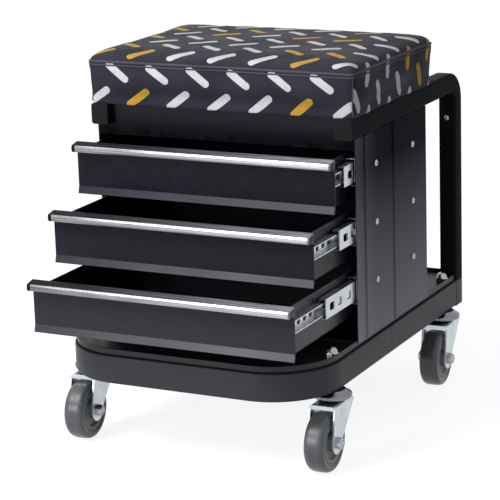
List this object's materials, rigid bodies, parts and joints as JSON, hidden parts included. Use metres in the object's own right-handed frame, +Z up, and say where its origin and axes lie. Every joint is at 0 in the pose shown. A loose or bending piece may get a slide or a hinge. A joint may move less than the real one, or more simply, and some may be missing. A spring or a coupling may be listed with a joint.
{
  "type": "roller seat with drawers",
  "caption": "Low workshop seat on swivel casters: padded cushion over a steel cabinet of sliding drawers, with bent tube hoops and a tray behind.",
  "frame": {"origin": "on the floor under the middle of the whole seat as stored, with its drawers part open", "axes": "+Z up from the floor, +Y to the back (the tray side), +X to the sitter-side right seen from the drawers"},
  "size_m": [0.3605, 0.507, 0.4578],
  "materials": {
    "black_paint": "satin black powder coat",
    "plug_plastic": "moulded black plastic",
    "zinc_steel": "bright zinc plate",
    "pull_aluminium": "bright nose with a black top",
    "board_wood": "raw plywood",
    "cushion_vinyl": "black vinyl, boxed and piped",
    "hub_plastic": "grey moulded hub",
    "tyre_rubber": "grey rubber"
  },
  "bodies": {
    "frame": {"base_front_tube": "black_paint", "base_side_tube_left": "black_paint", "base_side_tube_right": "black_paint", "base_rear_tube": "black_paint", "base_tray": "black_paint", "cabinet_sill": "black_paint", "hoop_tube_left": "black_paint", "hoop_tube_right": "black_paint", "rail_end_plugs": "plug_plastic", "side_panel_left": "black_paint", "side_panel_right": "black_paint", "back_panel": "black_paint", "front_header": "black_paint", "slide_screws": "zinc_steel", "seat_board": "board_wood", "seat_cushion": "cushion_vinyl", "seat_bolts": "zinc_steel", "stem_nuts": "zinc_steel", "caster_stems": "zinc_steel", "slide_outer_top": "zinc_steel", "slide_outer_middle": "zinc_steel", "slide_outer_bottom": "zinc_steel"},
    "drawer_top": {"drawer_box_top": "black_paint", "drawer_front_top": "black_paint", "drawer_pull_top": "pull_aluminium", "slide_inner_top": "zinc_steel"},
    "carrier_top": {"slide_carrier_top": "zinc_steel"},
    "outer_cage_top": {"ball_cage_outer_top": "zinc_steel"},
    "inner_cage_top": {"ball_cage_inner_top": "zinc_steel"},
    "drawer_middle": {"drawer_box_middle": "black_paint", "drawer_front_middle": "black_paint", "drawer_pull_middle": "pull_aluminium", "slide_inner_middle": "zinc_steel"},
    "carrier_middle": {"slide_carrier_middle": "zinc_steel"},
    "outer_cage_middle": {"ball_cage_outer_middle": "zinc_steel"},
    "inner_cage_middle": {"ball_cage_inner_middle": "zinc_steel"},
    "drawer_bottom": {"drawer_box_bottom": "black_paint", "drawer_front_bottom": "black_paint", "drawer_pull_bottom": "pull_aluminium", "slide_inner_bottom": "zinc_steel"},
    "carrier_bottom": {"slide_carrier_bottom": "zinc_steel"},
    "outer_cage_bottom": {"ball_cage_outer_bottom": "zinc_steel"},
    "inner_cage_bottom": {"ball_cage_inner_bottom": "zinc_steel"},
    "swivel_front_left": {"caster_fork_front_left": "zinc_steel", "caster_axle_front_left": "zinc_steel"},
    "wheel_front_left": {"wheel_hub_front_left": "hub_plastic", "wheel_tyre_front_left": "tyre_rubber"},
    "swivel_front_right": {"caster_fork_front_right": "zinc_steel", "caster_axle_front_right": "zinc_steel"},
    "wheel_front_right": {"wheel_hub_front_right": "hub_plastic", "wheel_tyre_front_right": "tyre_rubber"},
    "swivel_rear_left": {"caster_fork_rear_left": "zinc_steel", "caster_axle_rear_left": "zinc_steel"},
    "wheel_rear_left": {"wheel_hub_rear_left": "hub_plastic", "wheel_tyre_rear_left": "tyre_rubber"},
    "swivel_rear_right": {"caster_fork_rear_right": "zinc_steel", "caster_axle_rear_right": "zinc_steel"},
    "wheel_rear_right": {"wheel_hub_rear_right": "hub_plastic", "wheel_tyre_rear_right": "tyre_rubber"}
  },
  "joints": [
    {"name": "drawer_top_slide", "type": "slide", "parent": "frame", "child": "drawer_top", "axis": [0, -1, 0], "range_m": [-0.0515, 0.1385]},
    {"name": "carrier_top_slide", "type": "slide", "parent": "frame", "child": "carrier_top", "axis": [0, -1, 0], "range_m": [-0.02575, 0.06925]},
    {"name": "outer_cage_top_slide", "type": "slide", "parent": "frame", "child": "outer_cage_top", "axis": [0, -1, 0], "range_m": [-0.01287, 0.03463]},
    {"name": "inner_cage_top_slide", "type": "slide", "parent": "frame", "child": "inner_cage_top", "axis": [0, -1, 0], "range_m": [-0.03862, 0.10387]},
    {"name": "drawer_middle_slide", "type": "slide", "parent": "frame", "child": "drawer_middle", "axis": [0, -1, 0], "range_m": [-0.1105, 0.0795]},
    {"name": "carrier_middle_slide", "type": "slide", "parent": "frame", "child": "carrier_middle", "axis": [0, -1, 0], "range_m": [-0.05525, 0.03975]},
    {"name": "outer_cage_middle_slide", "type": "slide", "parent": "frame", "child": "outer_cage_middle", "axis": [0, -1, 0], "range_m": [-0.02763, 0.01988]},
    {"name": "inner_cage_middle_slide", "type": "slide", "parent": "frame", "child": "inner_cage_middle", "axis": [0, -1, 0], "range_m": [-0.08288, 0.05962]},
    {"name": "drawer_bottom_slide", "type": "slide", "parent": "frame", "child": "drawer_bottom", "axis": [0, -1, 0], "range_m": [-0.163, 0.027]},
    {"name": "carrier_bottom_slide", "type": "slide", "parent": "frame", "child": "carrier_bottom", "axis": [0, -1, 0], "range_m": [-0.0815, 0.0135]},
    {"name": "outer_cage_bottom_slide", "type": "slide", "parent": "frame", "child": "outer_cage_bottom", "axis": [0, -1, 0], "range_m": [-0.04075, 0.00675]},
    {"name": "inner_cage_bottom_slide", "type": "slide", "parent": "frame", "child": "inner_cage_bottom", "axis": [0, -1, 0], "range_m": [-0.12225, 0.02025]},
    {"name": "swivel_front_left_turn", "type": "hinge", "parent": "frame", "child": "swivel_front_left", "pos_m": [-0.1565, -0.1292, 0.09], "axis": [0, 0, 1], "continuous": true},
    {"name": "wheel_front_left_spin", "type": "hinge", "parent": "swivel_front_left", "child": "wheel_front_left", "pos_m": [-0.15514, -0.15516, 0.035], "axis": [0.9986, 0.0523, 0], "continuous": true},
    {"name": "swivel_front_right_turn", "type": "hinge", "parent": "frame", "child": "swivel_front_right", "pos_m": [0.1565, -0.1292, 0.09], "axis": [0, 0, 1], "continuous": true},
    {"name": "wheel_front_right_spin", "type": "hinge", "parent": "swivel_front_right", "child": "wheel_front_right", "pos_m": [0.15695, -0.1552, 0.035], "axis": [0.9998, 0.0175, 0], "continuous": true},
    {"name": "swivel_rear_left_turn", "type": "hinge", "parent": "frame", "child": "swivel_rear_left", "pos_m": [-0.1565, 0.2078, 0.09], "axis": [0, 0, 1], "continuous": true},
    {"name": "wheel_rear_left_spin", "type": "hinge", "parent": "swivel_rear_left", "child": "wheel_rear_left", "pos_m": [-0.15423, 0.1819, 0.035], "axis": [0.9962, 0.0872, 0], "continuous": true},
    {"name": "swivel_rear_right_turn", "type": "hinge", "parent": "frame", "child": "swivel_rear_right", "pos_m": [0.1565, 0.2078, 0.09], "axis": [0, 0, 1], "continuous": true},
    {"name": "wheel_rear_right_spin", "type": "hinge", "parent": "swivel_rear_right", "child": "wheel_rear_right", "pos_m": [0.15831, 0.18186, 0.035], "axis": [0.9976, 0.0698, 0], "continuous": true}
  ],
  "couplings": [
    {"joint": "carrier_top_slide", "follows": "drawer_top_slide", "ratio": 0.5},
    {"joint": "outer_cage_top_slide", "follows": "drawer_top_slide", "ratio": 0.25},
    {"joint": "inner_cage_top_slide", "follows": "drawer_top_slide", "ratio": 0.75},
    {"joint": "carrier_middle_slide", "follows": "drawer_middle_slide", "ratio": 0.5},
    {"joint": "outer_cage_middle_slide", "follows": "drawer_middle_slide", "ratio": 0.25},
    {"joint": "inner_cage_middle_slide", "follows": "drawer_middle_slide", "ratio": 0.75},
    {"joint": "carrier_bottom_slide", "follows": "drawer_bottom_slide", "ratio": 0.5},
    {"joint": "outer_cage_bottom_slide", "follows": "drawer_bottom_slide", "ratio": 0.25},
    {"joint": "inner_cage_bottom_slide", "follows": "drawer_bottom_slide", "ratio": 0.75}
  ]
}
